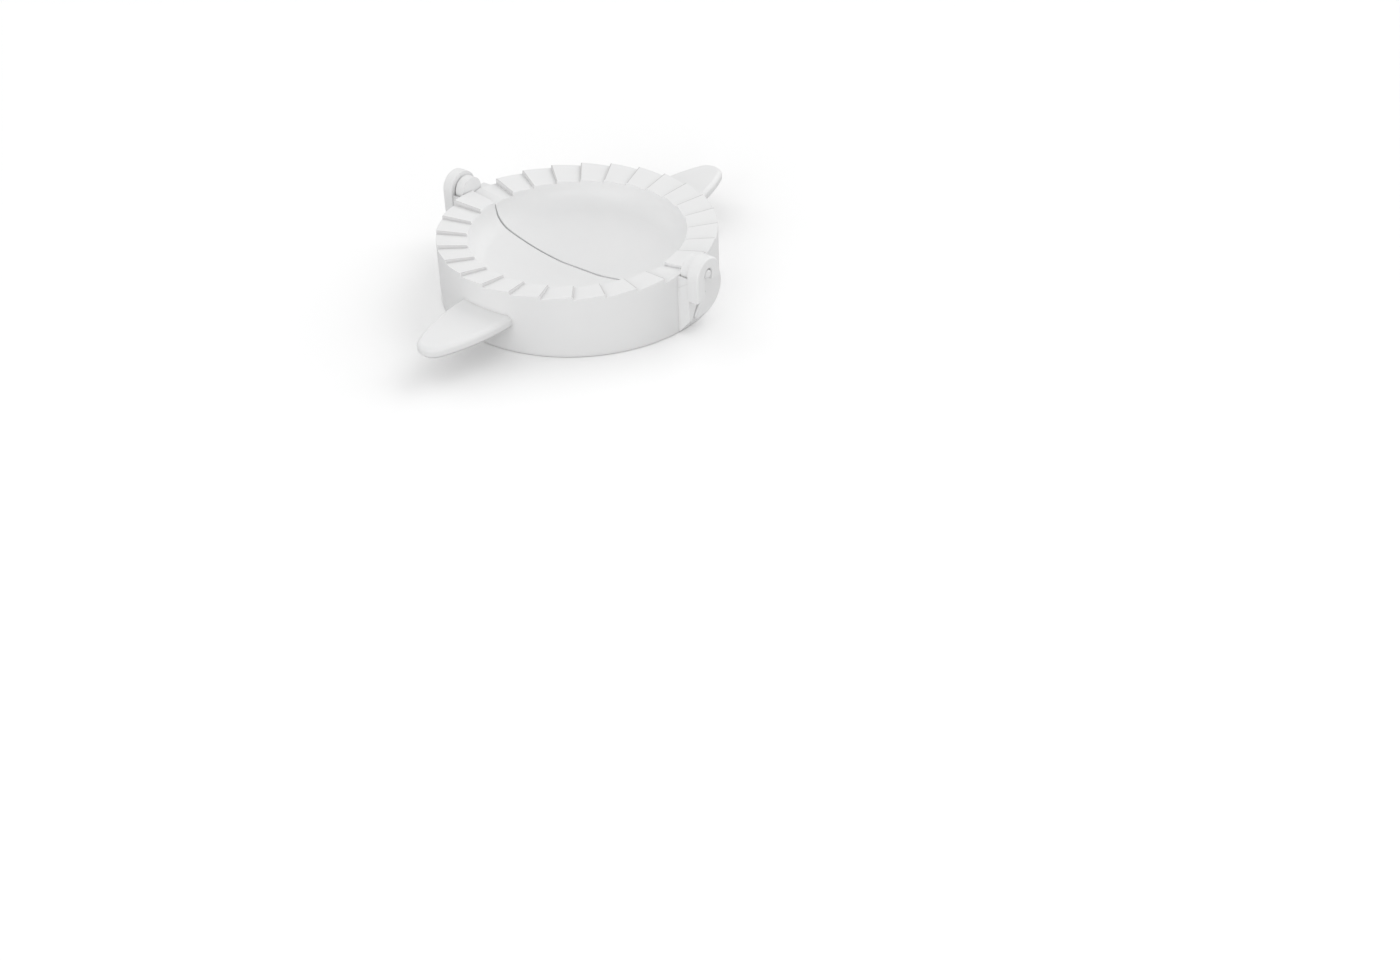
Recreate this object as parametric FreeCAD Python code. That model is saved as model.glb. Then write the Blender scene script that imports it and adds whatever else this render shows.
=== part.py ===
# Empanada press: a hand mould in two hinged halves of white plastic, shown open and flat, teeth up.
# The outer skirt cuts the round of dough, the dish takes the filling, and folding one half over the
# other meshes the two toothed rims and crimps the edge.
# Frame: X along the hinge, Y along the two finger tabs, Z up, origin on the table under the centre.

import FreeCAD
import Part

import math
import os

from FreeCAD import Vector

# Cutter and rim
rim_radius = 50.0
axis_height = 23.0
wall = 2.0
cutting_edge_width = 0.8
cutting_edge_bevel = 3.0
land_fall = 1.5

# Dish
dish_radius = 39.0
dish_depth = 16.8
dish_floor_radius = 100.0
dish_flat_radius = 8.0
dish_wall = 2.2
lip_radius = 1.5
lip_drop = 1.0
floor_bands = 2
corner_bands = 3

# Teeth: a running sawtooth, with one double ramp over each hinge
teeth_per_half_turn = 14
tooth_rise = 1.2
closing_gap = 0.25

# Relief beside the split, on the low side of each double ramp
relief_drop = 1.2
relief_run = 4.0

# Gaps between the two halves
land_gap = 0.16
dish_gap = 0.7
side_gap = 0.3

# Finger tabs
tab_reach = 31.0
tab_width = 22.6
tab_top = 14.0
tab_thickness = 4.5
tab_wall = 2.0
tab_tip_radius = 6.0
tab_bevel = 1.2

# Hinge pins
pin_diameter = 3.2
pin_chamfer = 0.4
pin_recess = 0.2

# Hook ears of the hook half
ear_radius = 6.3
ear_thickness = 4.5
ear_leg_drop = 9.0
ear_tip_drop = 3.0
slot_width = 4.1
slot_play = 0.25
ear_bevel = 0.5

# Gusset block that carries each ear
block_set_back = 0.6
block_top_at_skirt = 17.6
block_top_at_ear = 20.5
block_foot_at_skirt = 0.4
block_foot_at_ear = 5.6
block_knee = 13.5
block_toe = 4.5
block_toe_width = 0.8

# Thin wall on the block that closes the hollow in front of the boss
screen_set_back = 0.8
screen_top = 22.0

# Pin plates of the pin half
plate_thickness = 3.8
boss_radius = 4.9
lobe_radius = 9.9
lobe_forward = 3.0
lobe_drop = 8.8
shoulder_drop = 2.0
shoulder_round = 1.6
plate_knee_forward = 3.4
plate_knee_drop = 10.0
plate_tip_back = 3.9
plate_tip_round = 1.4
plate_bevel = 0.4

# How far cutters run past what they cut
overrun = 5.0

UP = Vector(0, 0, 1)
ALONG_HINGE = Vector(1, 0, 0)
CENTRE = Vector(0, 0, 0)

# Teeth
pitch_angle = 180.0 / teeth_per_half_turn
half_pitch = math.radians(pitch_angle / 2)
tooth_slope = tooth_rise / (2 * rim_radius * math.sin(half_pitch))
ramp_peak = tooth_slope * rim_radius * math.sin(2 * half_pitch)
land_slope = land_fall / (rim_radius - dish_radius)
tooth_plane = axis_height - closing_gap / 2
step_shift = math.degrees(closing_gap / 2 / rim_radius)
blank_top = axis_height + 2 * ramp_peak

# Dish, drawn as a large floor arc, a corner arc tangent to it, a short straight wall and a lip
lip_top = axis_height + ramp_peak - land_fall
lip_foot = lip_top - lip_radius
corner_height = lip_foot - lip_drop
floor_centre = axis_height - dish_depth + dish_floor_radius
lift = floor_centre - corner_height
corner_span = dish_floor_radius ** 2 - dish_radius ** 2 - lift ** 2
corner_radius = corner_span / (2 * (dish_floor_radius - dish_radius))
floor_turn = math.atan2(dish_radius - corner_radius, lift)
flat_turn = math.asin(dish_flat_radius / dish_floor_radius)
quarter_turn = math.pi / 2

# Hinge, from the skirt outwards
skirt_bite = rim_radius - cutting_edge_width / 2
plate_in = rim_radius + side_gap
plate_out = plate_in + plate_thickness
ear_in = plate_out + side_gap
ear_out = ear_in + ear_thickness
pin_radius = pin_diameter / 2
slot_front = pin_radius + slot_play
slot_back = slot_front - slot_width
slot_middle = (slot_front + slot_back) / 2
ear_front = slot_middle + ear_radius
ear_back = slot_middle - ear_radius
block_back = ear_back + block_set_back
screen_back = ear_back + screen_set_back
lobe_foot = axis_height - lobe_drop - lobe_radius


def line(a, b):
    return Part.LineSegment(a, b).toShape()


def arc(a, middle, b):
    return Part.Arc(a, middle, b).toShape()


def yz(y, drop):
    """Point in the plane x = 0, given by its drop below the hinge axis."""
    return Vector(0, y, axis_height - drop)


def disc(radius, low, high):
    return Part.makeCylinder(radius, high - low, Vector(0, 0, low), UP)


def turned(points):
    """Solid of revolution about the vertical axis, from straight runs through points of radius and height."""
    corners = [Vector(radius, 0, height) for radius, height in points]
    return Part.Face(Part.makePolygon(corners + corners[:1])).revolve(CENTRE, UP, 360)


def on_floor(turn, grow):
    reach = dish_floor_radius + grow
    return reach * math.sin(turn), floor_centre - reach * math.cos(turn)


def on_corner(turn, grow):
    reach = corner_radius + grow
    return dish_radius - corner_radius + reach * math.sin(turn), corner_height - reach * math.cos(turn)


def dish_space():
    """The inside of the dish up to its rounded lip, as a solid to cut away."""

    def at(point):
        return Vector(point[0], 0, point[1])

    flat_edge = at(on_floor(flat_turn, 0))
    bottom = Vector(0, 0, flat_edge.z)
    join = at(on_floor(floor_turn, 0))
    wall_foot = Vector(dish_radius, 0, corner_height)
    lip_start = Vector(dish_radius, 0, lip_foot)
    lip_end = Vector(dish_radius + lip_radius, 0, lip_top)
    lip_middle = Vector(lip_end.x, 0, lip_foot) + Vector(-1, 0, 1) * (lip_radius * math.sqrt(0.5))
    top = Vector(lip_end.x, 0, blank_top + overrun)
    axis_top = Vector(0, 0, top.z)
    edges = [
        line(bottom, flat_edge),
        arc(flat_edge, at(on_floor((flat_turn + floor_turn) / 2, 0)), join),
        arc(join, at(on_corner((floor_turn + quarter_turn) / 2, 0)), wall_foot),
        line(wall_foot, lip_start),
        arc(lip_start, lip_middle, lip_end),
        line(lip_end, top),
        line(top, axis_top),
        line(axis_top, bottom),
    ]
    return Part.Face(Part.Wire(edges)).revolve(CENTRE, UP, 360)


def dish_outside():
    """The outside of the dish, coned in bands that follow the inside at the thickness of its wall."""
    points = [on_floor(floor_turn * band / floor_bands, dish_wall) for band in range(floor_bands)]
    swing = quarter_turn - floor_turn
    for band in range(corner_bands + 1):
        points.append(on_corner(floor_turn + swing * band / corner_bands, dish_wall))
    top = blank_top + overrun
    return turned(points + [(dish_radius + dish_wall, top), (0, top)])


def hollow_under_rim():
    """Space under the rim land, between the bevelled skirt and the outside of the dish."""
    inner = rim_radius - wall
    edge_inner = rim_radius - cutting_edge_width
    ceiling = axis_height - ramp_peak - wall

    def under(radius):
        return ceiling - land_slope * (rim_radius - radius)

    space = turned([
        (0, -overrun),
        (edge_inner, -overrun),
        (edge_inner, 0),
        (inner, cutting_edge_bevel),
        (inner, under(inner)),
        (0, under(0)),
    ])
    return space.cut(dish_outside())


def tooth_cutter(start_angle, end_angle):
    """Air above one tooth, whose flat top rises from the start angle to the end and falls inwards."""
    middle = math.radians((start_angle + end_angle) / 2)
    inner = dish_radius - overrun
    outer = rim_radius + overrun
    corners = []
    for radius, angle in ((inner, start_angle), (outer, start_angle), (outer, end_angle), (inner, end_angle)):
        from_middle = math.radians(angle) - middle
        fall = land_slope * (rim_radius - radius * math.cos(from_middle))
        height = tooth_plane + tooth_slope * radius * math.sin(from_middle) - fall
        across = radius * math.cos(math.radians(angle))
        along = radius * math.sin(math.radians(angle))
        corners.append(Vector(across, along, height))
    base = Part.Face(Part.makePolygon(corners + corners[:1]))
    return base.extrude(UP * axis_height)


def tooth_spans():
    """Start and end angles of every tooth, counter-clockwise from above, with the two double ramps."""
    spans = []
    for turn_start in (0, 180):
        spans.append((turn_start - pitch_angle, turn_start + pitch_angle))
        for index in range(1, teeth_per_half_turn - 1):
            start = turn_start + index * pitch_angle
            spans.append((start, start + pitch_angle))
    return [(start - step_shift, end - step_shift) for start, end in spans]


def split_relief():
    """Air over the slope that lowers the hook half's land beside the split, at its right end."""
    inner = dish_radius - overrun
    corners = []
    for across, along in ((inner, -relief_run), (rim_radius, -relief_run), (rim_radius, 0), (inner, 0)):
        ramp = tooth_plane - tooth_slope * relief_run - land_slope * (rim_radius - across)
        drop = (relief_drop - tooth_slope * relief_run) * (along + relief_run) / relief_run
        corners.append(Vector(across, along, ramp - drop))
    base = Part.Face(Part.makePolygon(corners + corners[:1]))
    return base.extrude(UP * axis_height)


def toothed_ring():
    """Both halves in one piece: skirt, toothed rim and dish."""
    ring = disc(rim_radius, 0, blank_top)
    ring = ring.cut(dish_space())
    ring = ring.cut(hollow_under_rim())
    relief = split_relief()
    opposite = relief.copy()
    opposite.rotate(CENTRE, UP, 180)
    return ring.cut([tooth_cutter(start, end) for start, end in tooth_spans()] + [relief, opposite])


def side_box(side, gap, radius):
    """Everything on one side of the hinge plane, within a radius and clear of the gap."""
    reach = radius + overrun
    height = blank_top + 2 * overrun
    low = gap / 2 if side > 0 else -reach
    return Part.makeBox(2 * reach, reach - gap / 2, height, Vector(-reach, low, -overrun))


def half_ring(ring, side):
    """One half of the ring, with the wider gap across the dish."""
    half = ring.common(side_box(side, land_gap, rim_radius))
    inner = dish_radius + lip_radius
    slot = Part.makeBox(2 * inner, dish_gap, blank_top + overrun, Vector(-inner, -dish_gap / 2, 0))
    return half.cut(slot)


def picked(solid, test):
    """Edges of a solid whose boxes pass a test."""
    return [edge for edge in solid.Edges if test(edge.BoundBox)]


def tab_prism(reach, width, tip_radius, height):
    """Tongue drawn with a round tip and a long arc on each side that starts square to the skirt."""
    tip_centre = reach - tip_radius
    side_radius = ((width / 2) ** 2 + tip_centre ** 2 - tip_radius ** 2) / (width - 2 * tip_radius)
    side_centre = width / 2 - side_radius
    turn = math.atan2(tip_centre, -side_centre)

    def side_point(angle, flip):
        return Vector(flip * (side_centre + side_radius * math.cos(angle)), side_radius * math.sin(angle), 0)

    tip = Vector(0, reach, 0)
    foot = {}
    edges = []
    for flip in (1, -1):
        foot[flip] = side_point(0, flip)
        edges.append(arc(foot[flip], side_point(turn / 2, flip), side_point(turn, flip)))
    edges.append(arc(side_point(turn, 1), tip, side_point(turn, -1)))
    root = {flip: Vector(foot[flip].x, -overrun, 0) for flip in (1, -1)}
    edges += [line(foot[-1], root[-1]), line(root[-1], root[1]), line(root[1], foot[1])]
    outline = Part.Wire(Part.sortEdges(edges)[0])
    return Part.Face(outline).extrude(UP * height)


def finger_tab(side):
    """Tongue that grows out of the skirt, bevelled round its edge and hollow underneath."""
    tab = tab_prism(tab_reach, tab_width, tab_tip_radius, tab_thickness)
    tab = tab.makeChamfer(tab_bevel, picked(tab, lambda box: box.ZLength < tab_bevel and box.YMax > 0))
    tip_radius = tab_tip_radius - tab_wall
    hollow = tab_prism(tab_reach - tab_wall, tab_width - 2 * tab_wall, tip_radius, tab_thickness - tab_wall)
    below = Vector(0, rim_radius, tab_top - tab_thickness)
    tab.translate(below)
    hollow.translate(below)
    tab = tab.cut(hollow.cut(disc(rim_radius, 0, axis_height)))
    tab = tab.cut(disc(skirt_bite, 0, axis_height))
    return tab if side > 0 else tab.mirror(CENTRE, Vector(0, 1, 0))


def hook_ear():
    """Ear with a slot open downwards, in which the pin turns and from which it snaps out."""
    edges = [
        line(yz(ear_back, ear_leg_drop), yz(ear_back, 0)),
        arc(yz(ear_back, 0), yz(slot_middle, -ear_radius), yz(ear_front, 0)),
        line(yz(ear_front, 0), yz(ear_front, ear_tip_drop)),
        line(yz(ear_front, ear_tip_drop), yz(slot_front, ear_tip_drop)),
        line(yz(slot_front, ear_tip_drop), yz(slot_front, 0)),
        arc(yz(slot_front, 0), yz(slot_middle, -slot_width / 2), yz(slot_back, 0)),
        line(yz(slot_back, 0), yz(slot_back, ear_leg_drop)),
        line(yz(slot_back, ear_leg_drop), yz(ear_back, ear_leg_drop)),
    ]
    face = Part.Face(Part.Wire(edges))
    face.translate(ALONG_HINGE * ear_in)
    ear = face.extrude(ALONG_HINGE * ear_thickness)
    return ear.makeChamfer(ear_bevel, picked(ear, lambda box: box.XMin > ear_out - ear_bevel))


def yz_prism(points, start, end):
    face = Part.Face(Part.makePolygon(points + points[:1]))
    face.translate(ALONG_HINGE * start)
    return face.extrude(ALONG_HINGE * (end - start))


def hinge_cylinder(radius, start, end):
    return Part.makeCylinder(radius, end - start, Vector(start, 0, axis_height), ALONG_HINGE)


def gusset_block():
    """Block between the skirt and the ear, cut back from the boss and slanted along the pin plate."""
    root = rim_radius - wall
    corners = [
        Vector(root, 0, block_foot_at_skirt),
        Vector(rim_radius, 0, block_foot_at_skirt),
        Vector(ear_in, 0, block_foot_at_ear),
        Vector(ear_in, 0, block_top_at_ear),
        Vector(rim_radius, 0, block_top_at_skirt),
        Vector(root, 0, block_top_at_skirt),
    ]
    face = Part.Face(Part.makePolygon(corners + corners[:1]))
    face.translate(Vector(0, block_back, 0))
    block = face.extrude(Vector(0, -block_back, 0))
    side = [
        Vector(0, block_back, 0),
        Vector(0, block_back, axis_height),
        Vector(0, -side_gap, axis_height),
        Vector(0, -side_gap, block_knee),
        Vector(0, block_back + block_toe_width, block_toe),
        Vector(0, block_back + block_toe_width, 0),
    ]
    block = block.common(yz_prism(side, root, ear_in))
    screen = [
        Vector(0, screen_back, block_top_at_skirt),
        Vector(0, screen_back, screen_top),
        Vector(0, -side_gap, screen_top),
        Vector(0, -side_gap, block_top_at_skirt),
    ]
    block = block.fuse(yz_prism(screen, root, ear_in))
    return block.cut(hinge_cylinder(boss_radius + side_gap, root, ear_in))


def pin_plate():
    """Plate on the outside of the skirt that carries the pin: a boss, and a lobe that reaches down."""
    shoulder = lobe_forward + math.sqrt(lobe_radius ** 2 - (lobe_drop - shoulder_drop) ** 2)
    lobe_middle = yz(lobe_forward, lobe_drop)
    lowest = lobe_middle - UP * lobe_radius
    tip_point = Vector(0, -plate_tip_back, lobe_foot)
    knee = yz(plate_knee_forward, plate_knee_drop)
    under_boss = yz(0, boss_radius)
    in_boss = yz(0, shoulder_drop)
    edges = [
        line(in_boss, yz(shoulder, shoulder_drop)),
        arc(yz(shoulder, shoulder_drop), lobe_middle + Vector(0, lobe_radius, 0), lowest),
        line(lowest, tip_point),
        line(tip_point, knee),
        line(knee, under_boss),
        line(under_boss, in_boss),
    ]
    outline = Part.Face(Part.Wire(edges))

    def lobe(start, end):
        face = outline.copy()
        face.translate(ALONG_HINGE * start)
        return face.extrude(ALONG_HINGE * (end - start))

    plate = lobe(plate_in, plate_out)
    tip = picked(plate, lambda box: box.YMax < plate_tip_round - plate_tip_back and box.ZLength < plate_bevel)
    plate = plate.makeFillet(plate_tip_round, [edge for edge in tip if edge.BoundBox.XLength > plate_bevel])
    corner = picked(plate, lambda box: box.YMin > shoulder - plate_bevel and box.XLength > plate_bevel)
    corner = [edge for edge in corner if edge.BoundBox.ZMin > axis_height - shoulder_drop - plate_bevel]
    plate = plate.makeFillet(shoulder_round, corner)
    plate = plate.fuse(hinge_cylinder(boss_radius, plate_in, plate_out)).removeSplitter()
    outboard = picked(plate, lambda box: box.XMin > plate_out - plate_bevel)
    plate = plate.makeChamfer(plate_bevel, outboard)
    web = lobe(rim_radius - 2 * wall, plate_in)
    window = Part.makeBox(ear_out, rim_radius, axis_height, Vector(0, land_gap / 2, 0))
    return plate.fuse(web.common(window))


def hinge_pin():
    end = ear_out - pin_recess
    pin = hinge_cylinder(pin_radius, plate_in, end)
    return pin.makeChamfer(pin_chamfer, picked(pin, lambda box: box.XMin > end - pin_chamfer))


def both_ends(shape):
    return [shape, shape.mirror(CENTRE, ALONG_HINGE)]


def hook_half(ring):
    bite = disc(skirt_bite, 0, axis_height)
    end = hook_ear().fuse(gusset_block().cut(bite))
    return half_ring(ring, -1).fuse([finger_tab(-1)] + both_ends(end))


def pin_half(ring):
    bite = disc(skirt_bite, 0, axis_height)
    end = pin_plate().cut(bite).fuse(hinge_pin())
    return half_ring(ring, 1).fuse([finger_tab(1)] + both_ends(end))


def main():
    os.makedirs("parts", exist_ok=True)
    ring = toothed_ring()
    for name, build in (("hook_half", hook_half), ("pin_half", pin_half)):
        shape = build(ring)
        if not shape.isValid() or len(shape.Solids) != 1:
            raise RuntimeError(name + " is not one valid solid")
        shape.Solids[0].exportStep("parts/" + name + ".step")
        box = shape.BoundBox
        print(name, "volume", round(shape.Volume), "from", box.YMin, box.ZMin, "to", box.YMax, box.ZMax)


main()
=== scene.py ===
# The empanada press open and flat on a pale table, in soft studio light, seen from its near right side.

import math

import bmesh
import bpy
from mathutils import Matrix, Vector


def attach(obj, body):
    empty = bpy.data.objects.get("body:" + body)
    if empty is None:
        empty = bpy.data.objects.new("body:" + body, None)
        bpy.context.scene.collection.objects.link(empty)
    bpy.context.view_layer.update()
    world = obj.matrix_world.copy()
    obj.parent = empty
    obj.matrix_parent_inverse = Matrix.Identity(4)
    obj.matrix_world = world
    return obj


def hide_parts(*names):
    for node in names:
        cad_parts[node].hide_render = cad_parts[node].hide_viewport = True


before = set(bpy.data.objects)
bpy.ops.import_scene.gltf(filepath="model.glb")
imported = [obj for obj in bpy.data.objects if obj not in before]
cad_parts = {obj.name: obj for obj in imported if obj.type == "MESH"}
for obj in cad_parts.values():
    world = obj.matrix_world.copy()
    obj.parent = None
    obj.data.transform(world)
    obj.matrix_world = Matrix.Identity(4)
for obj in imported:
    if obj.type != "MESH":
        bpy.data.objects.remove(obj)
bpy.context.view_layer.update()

MM = 0.001

# Where the moulded edges lie that get rounded, in millimetres, around the sizes in the part's source
TEETH_INNER_RADIUS = 41.5
TEETH_OUTER_RADIUS = 50.2
TEETH_FOOT = 20.2
HINGE_BLOCK_REACH = 8.0
EAR_START = 54.5
TAB_START = 50.8
TAB_MIDDLE = 11.5
SPLIT_REACH = 0.5
SPLIT_HALF_LENGTH = 38.5
DISH_UNDERSIDE = 3.0

# Rounding of those edges: width in millimetres and number of strips
TAB_TOP_ROUNDING = (0.55, 3)
TAB_UNDER_ROUNDING = (0.3, 2)
SPLIT_ROUNDING = (0.28, 3)
EAR_ROUNDING = (0.17, 2)
TOOTH_ROUNDING = (0.2, 2)
ROUND_PROFILE = 0.5

# Merging the solid's loose triangles, in metres, and which of its edges are flat, smooth and sharp
MERGE_WITHIN = 0.000002
FLAT_WITHIN = math.radians(0.3)
SMOOTH_UNDER = math.radians(24)
SHARP_OVER = math.radians(25)

# Satin white plastic: two tones that cloud into each other, and the grey of the painted shade
PALE_TONE = (0.80, 0.803, 0.806, 1)
PALER_TONE = (0.835, 0.835, 0.833, 1)
PAINTED_SHADE_TONE = (0.40, 0.39, 0.385, 1)
CLOUD_SCALE = 70.0
CLOUD_DETAIL = 3.0
RIPPLE_SCALE = 260.0
GRAIN_SCALE = 2600.0
SURFACE_DETAIL = 2.0
GRAIN_SHARE = 0.25
BUMP_STRENGTH = 0.25
BUMP_DEPTH = 0.00004
LEAST_ROUGHNESS = 0.34
CLOUD_ROUGHNESS = 0.12
PLASTIC_SPECULAR = 0.5

# Painted shade at the teeth's steps: between these radii and above this height in millimetres, and past this
# share of each tooth's length, less on its step than on its top
STEP_SHADE_INNER_RADIUS = 39.4
STEP_SHADE_OUTER_RADIUS = 49.8
STEP_SHADE_ABOVE = 19.5
TEETH_PER_HALF_TURN = 14
TOOTH_TIP_FROM = 0.95
FACES_UP_OVER = 0.7
STEP_FACE_PAINTED_SHADE = 0.2
TOP_PAINTED_SHADE = 0.35

# Painted shade in the inner corners, and how far it reaches out of them in millimetres
CORNER_PAINTED_SHADE = 0.36
CORNER_REACH = 1.5
CORNER_SAMPLES = 8

# The strip along the hinge line that gets no painted shade: its half width and its foot, in millimetres
HINGE_LINE_REACH = 4.0
HINGE_LINE_FOOT = 5.0

# Table, in metres, and the grey of the light that it gives back to the press
FLOOR_REACH = 6.0
FLOOR_DROP = 0.0002
FLOOR_TONE = (0.58, 0.58, 0.58, 1)
FLOOR_ROUGHNESS = 0.9
FLOOR_SPECULAR = 0.1
WHITE = (1, 1, 1, 1)

# Camera, solved from the rim, the skirt's foot and the hinge in the photograph
CAMERA_PLACE = Vector((0.4620, -0.5155, 0.3937))
CAMERA_TURN = math.radians(321.5)
CAMERA_TILT = math.radians(34.86)
CAMERA_ROLL = -0.032
FOCAL_PIXELS = 2199.0
PHOTO_WIDTH = 1400.0
SENSOR_WIDTH = 36.0
NEAREST_SEEN = 0.01
FURTHEST_SEEN = 50

# Light from the sides of the room: name, where it comes from, strength, and softness in degrees
WIDE_LIGHTS = (
    ("front", (0.15, -1.0, 0.3), 0.62, 40),
    ("back", (0.28, 1.0, 0.65), 1.05, 60),
    ("left", (-1.0, 0.1, 0.6), 0.42, 60),
)

# The small panel of light on the near right, in metres and watts, and the strength of the surroundings
PANEL_PLACE = (0.30, -0.22, 0.10)
PANEL_AIM = (0, 0, 0.01)
PANEL_SIZE = 0.12
PANEL_POWER = 0.15
SURROUNDINGS = 0.70


class Value:
    """A number that varies over a surface: arithmetic and comparisons on it add Math nodes."""

    def __init__(self, finish, socket):
        self.finish = finish
        self.socket = socket

    def maths(self, operation, first, second):
        return self.finish.node("ShaderNodeMath", {"operation": operation}, {0: first, 1: second})

    def __add__(self, other):
        return self.maths("ADD", self, other)

    def __radd__(self, other):
        return self.maths("ADD", other, self)

    def __sub__(self, other):
        return self.maths("SUBTRACT", self, other)

    def __rsub__(self, other):
        return self.maths("SUBTRACT", other, self)

    def __mul__(self, other):
        return self.maths("MULTIPLY", self, other)

    def __rmul__(self, other):
        return self.maths("MULTIPLY", other, self)

    def __gt__(self, other):
        return self.maths("GREATER_THAN", self, other)

    def __lt__(self, other):
        return self.maths("LESS_THAN", self, other)


class Finish:
    """A material, built node by node."""

    def __init__(self, name):
        self.material = bpy.data.materials.new(name)
        self.material.use_nodes = True
        self.tree = self.material.node_tree
        self.tree.nodes.clear()

    def node(self, kind, settings=None, inputs=None, out=0):
        """Add a node: its settings are set first, then the values or links of its sockets."""
        made = self.tree.nodes.new(kind)
        for name, value in (settings or {}).items():
            setattr(made, name, value)
        for name, value in (inputs or {}).items():
            if isinstance(value, Value):
                self.tree.links.new(value.socket, made.inputs[name])
            else:
                made.inputs[name].default_value = value
        return Value(self, made.outputs[out]) if len(made.outputs) else made


def noise(finish, place, scale, detail):
    return finish.node("ShaderNodeTexNoise", inputs={"Vector": place, "Scale": scale, "Detail": detail})


def mixed(finish, share, first, second):
    """A colour between two others. Sockets 0, 6 and 7 of the node are the share and the two colours."""
    return finish.node("ShaderNodeMix", {"data_type": "RGBA"}, {0: share, 6: first, 7: second}, out=2)


def part_along(finish, vector, axis):
    return finish.node("ShaderNodeSeparateXYZ", inputs={"Vector": vector}, out=axis)


def tooth_tips(finish, x, y, z):
    """Where the high end and the step of each tooth are."""
    from_centre = x * x + y * y
    past_lip = from_centre > (STEP_SHADE_INNER_RADIUS * MM) ** 2
    within_rim = from_centre < (STEP_SHADE_OUTER_RADIUS * MM) ** 2
    angle = finish.node("ShaderNodeMath", {"operation": "ARCTAN2"}, {0: y, 1: x})
    teeth_round = angle * (TEETH_PER_HALF_TURN / math.pi)
    along_tooth = finish.node("ShaderNodeMath", {"operation": "FRACT"}, {0: teeth_round})
    return (along_tooth > TOOTH_TIP_FROM) * past_lip * within_rim * (z > STEP_SHADE_ABOVE * MM)


def painted_shade_amount(finish, place):
    """How much painted shade darkens the inner corners, and each tooth along its high edge and down its
    step.
    """
    x, y, z = (part_along(finish, place, axis) for axis in "XYZ")
    on_hinge_line = y * y < (HINGE_LINE_REACH * MM) ** 2
    normal = finish.node("ShaderNodeTexCoord", out="Normal")
    faces_up = part_along(finish, normal, "Z") > FACES_UP_OVER
    # Painted shade: a dark band along each tooth's high end and down its step, where the step throws shade
    step_shade = tooth_tips(finish, x, y, z) * (1.0 - on_hinge_line) * (STEP_FACE_PAINTED_SHADE + faces_up * TOP_PAINTED_SHADE)
    # Painted shade: the base colour darkens where ambient occlusion finds a surface within reach, in inner
    # corners, between the halves and at the table
    openness = finish.node(
        "ShaderNodeAmbientOcclusion",
        {"samples": CORNER_SAMPLES},
        {"Distance": CORNER_REACH * MM},
        out="AO",
    )
    left_unshaded = on_hinge_line * (z > HINGE_LINE_FOOT * MM)
    corner_shade = (1.0 - openness) * (1.0 - left_unshaded) * CORNER_PAINTED_SHADE
    return corner_shade + step_shade


def white_plastic():
    """Satin polypropylene: faint clouding, a soft ripple, a fine moulded grain, and painted shade in the
    inner corners and at the teeth's steps.
    """
    finish = Finish("white_plastic")
    place = finish.node("ShaderNodeTexCoord", out="Object")
    clouds = noise(finish, place, CLOUD_SCALE, CLOUD_DETAIL)
    grain = noise(finish, place, GRAIN_SCALE, SURFACE_DETAIL)
    ripple = noise(finish, place, RIPPLE_SCALE, SURFACE_DETAIL)
    body = mixed(finish, clouds, PALE_TONE, PALER_TONE)
    height = grain * GRAIN_SHARE + ripple
    bump = finish.node(
        "ShaderNodeBump",
        inputs={"Strength": BUMP_STRENGTH, "Distance": BUMP_DEPTH, "Height": height},
    )
    # The base colour is darkened towards the grey tone by painted shade in the corners and at the teeth's
    # steps
    shader = finish.node(
        "ShaderNodeBsdfPrincipled",
        inputs={
            "Base Color": mixed(finish, painted_shade_amount(finish, place), body, PAINTED_SHADE_TONE),
            "Roughness": LEAST_ROUGHNESS + clouds * CLOUD_ROUGHNESS,
            "Specular IOR Level": PLASTIC_SPECULAR,
            "Normal": bump,
        },
    )
    finish.node("ShaderNodeOutputMaterial", inputs={"Surface": shader})
    return finish.material


def pale_floor():
    """Matt pale table, white where it is seen directly."""
    finish = Finish("pale_floor")
    seen = finish.node("ShaderNodeLightPath", out="Is Camera Ray")
    shader = finish.node(
        "ShaderNodeBsdfPrincipled",
        inputs={
            "Base Color": mixed(finish, seen, FLOOR_TONE, WHITE),
            "Roughness": FLOOR_ROUGHNESS,
            "Specular IOR Level": FLOOR_SPECULAR,
        },
    )
    finish.node("ShaderNodeOutputMaterial", inputs={"Surface": shader})
    return finish.material


def on_tab_top(middle):
    return abs(middle.y) > TAB_START and middle.z > TAB_MIDDLE


def on_tab_underside(middle):
    return abs(middle.y) > TAB_START and middle.z <= TAB_MIDDLE


def on_split(middle):
    beside_split = abs(middle.y) < SPLIT_REACH and abs(middle.x) < SPLIT_HALF_LENGTH
    return beside_split and middle.z > DISH_UNDERSIDE


def on_ears(middle):
    return abs(middle.x) > EAR_START


def on_teeth(middle):
    radius = math.hypot(middle.x, middle.y)
    on_rim = TEETH_INNER_RADIUS < radius < TEETH_OUTER_RADIUS and middle.z > TEETH_FOOT
    return on_rim and abs(middle.y) > HINGE_BLOCK_REACH


def select_edges(piece, place):
    """Select the sharp edges of a piece in edit mode whose middles, in millimetres, pass a test of place."""
    mesh = bmesh.from_edit_mesh(piece.data)
    for edge in mesh.edges:
        middle = (edge.verts[0].co + edge.verts[1].co) / (2 * MM)
        edge.select_set(edge.calc_face_angle(0) > SHARP_OVER and place(middle))
    bmesh.update_edit_mesh(piece.data)


def round_edges(piece, place, rounding):
    """Round the sharp edges of a piece in edit mode that pass a test of place."""
    width, strips = rounding
    select_edges(piece, place)
    bpy.ops.mesh.bevel(
        offset=width * MM,
        segments=strips,
        profile=ROUND_PROFILE,
        affect="EDGES",
        clamp_overlap=False,
    )
    bpy.ops.mesh.select_all(action="DESELECT")


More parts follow.
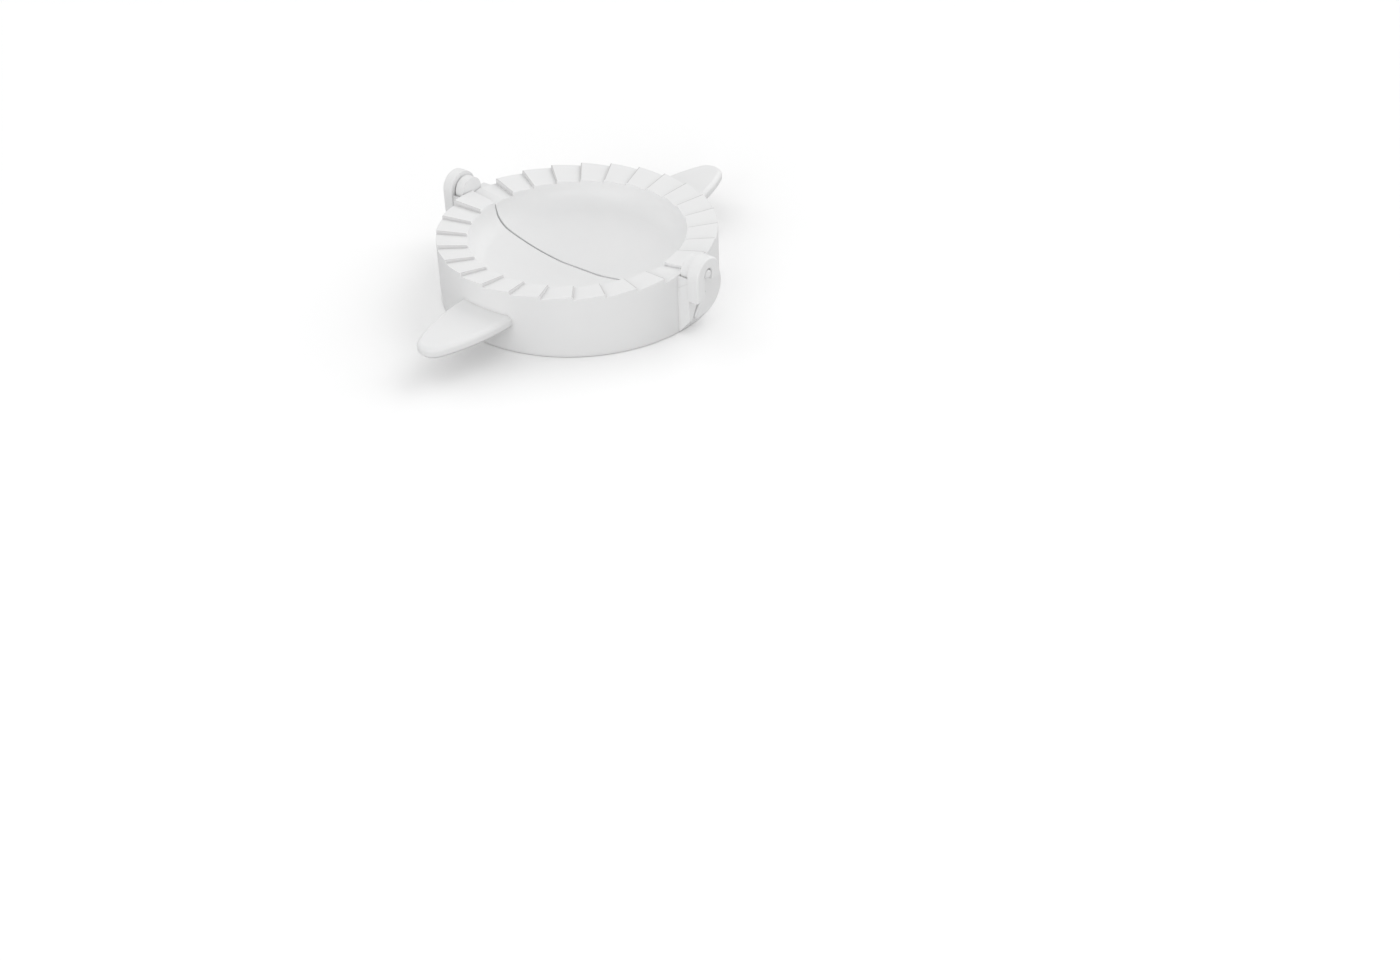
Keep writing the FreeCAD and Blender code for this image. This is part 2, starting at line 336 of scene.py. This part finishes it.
def moulded_copy(node, body):
    """The half as it leaves the mould: a merged copy of its solid, with its edges rounded."""
    piece = bpy.data.objects.new(node.name + "_moulding", node.data.copy())
    bpy.context.scene.collection.objects.link(piece)
    bpy.ops.object.select_all(action="DESELECT")
    piece.select_set(True)
    bpy.context.view_layer.objects.active = piece
    bpy.ops.object.mode_set(mode="EDIT")
    bpy.ops.mesh.customdata_custom_splitnormals_clear()
    bpy.ops.mesh.select_mode(type="EDGE")
    bpy.ops.mesh.select_all(action="SELECT")
    bpy.ops.mesh.remove_doubles(threshold=MERGE_WITHIN)
    bpy.ops.mesh.dissolve_limited(angle_limit=FLAT_WITHIN)
    round_edges(piece, on_tab_top, TAB_TOP_ROUNDING)
    round_edges(piece, on_tab_underside, TAB_UNDER_ROUNDING)
    round_edges(piece, on_split, SPLIT_ROUNDING)
    round_edges(piece, on_ears, EAR_ROUNDING)
    round_edges(piece, on_teeth, TOOTH_ROUNDING)
    bpy.ops.object.mode_set(mode="OBJECT")
    bpy.ops.object.shade_smooth_by_angle(angle=SMOOTH_UNDER)
    bpy.ops.object.modifier_add(type="WEIGHTED_NORMAL")
    piece.modifiers[-1].keep_sharp = True
    bpy.ops.object.modifier_apply(modifier=piece.modifiers[-1].name)
    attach(piece, body)
    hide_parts(node.name)
    return piece


def add_floor():
    bpy.ops.object.select_all(action="DESELECT")
    bpy.ops.mesh.primitive_plane_add(size=2 * FLOOR_REACH, location=(0, 0, -FLOOR_DROP))
    floor = bpy.context.object
    floor.name = "floor"
    floor.data.materials.append(pale_floor())


def add_camera():
    flat_right = Vector((math.cos(CAMERA_TURN), -math.sin(CAMERA_TURN), 0))
    flat_ahead = Vector((math.sin(CAMERA_TURN), math.cos(CAMERA_TURN), 0))
    ahead = flat_ahead * math.cos(CAMERA_TILT) - Vector((0, 0, math.sin(CAMERA_TILT)))
    above = flat_ahead * math.sin(CAMERA_TILT) + Vector((0, 0, math.cos(CAMERA_TILT)))
    right = flat_right * math.cos(CAMERA_ROLL) + above * math.sin(CAMERA_ROLL)
    up = above * math.cos(CAMERA_ROLL) - flat_right * math.sin(CAMERA_ROLL)
    data = bpy.data.cameras.new("camera")
    data.sensor_width = SENSOR_WIDTH
    data.lens = FOCAL_PIXELS / PHOTO_WIDTH * SENSOR_WIDTH
    data.clip_start = NEAREST_SEEN
    data.clip_end = FURTHEST_SEEN
    camera = bpy.data.objects.new("camera", data)
    axes = Matrix((right, up, -ahead)).transposed().to_4x4()
    camera.matrix_world = Matrix.Translation(CAMERA_PLACE) @ axes
    bpy.context.scene.collection.objects.link(camera)
    bpy.context.scene.camera = camera


def aim_lamp(lamp, place, aim):
    lamp.location = place
    lamp.rotation_euler = (Vector(aim) - Vector(place)).to_track_quat("-Z", "Y").to_euler()
    bpy.context.scene.collection.objects.link(lamp)


def add_wide_light(name, place, strength, softness):
    """Light from one side of the room that is as strong everywhere on the table."""
    data = bpy.data.lights.new(name, "SUN")
    data.energy = strength
    data.angle = math.radians(softness)
    aim_lamp(bpy.data.objects.new(name, data), place, (0, 0, 0))


def add_panel(name):
    """A small round panel of light aimed at the press."""
    data = bpy.data.lights.new(name, "AREA")
    data.shape = "DISK"
    data.size = PANEL_SIZE
    data.energy = PANEL_POWER
    aim_lamp(bpy.data.objects.new(name, data), PANEL_PLACE, PANEL_AIM)


def add_world():
    """Even pale surroundings."""
    world = bpy.data.worlds.new("studio")
    bpy.context.scene.world = world
    world.use_nodes = True
    background = world.node_tree.nodes["Background"]
    background.inputs["Color"].default_value = WHITE
    background.inputs["Strength"].default_value = SURROUNDINGS


def main():
    plastic = white_plastic()
    for body in ("hook_half", "pin_half"):
        piece = moulded_copy(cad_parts[body], body)
        piece.data.materials.clear()
        piece.data.materials.append(plastic)
    add_floor()
    add_camera()
    add_world()
    for name, place, strength, softness in WIDE_LIGHTS:
        add_wide_light(name, place, strength, softness)
    add_panel("near_right")
    bpy.context.scene.view_settings.view_transform = "Standard"


main()
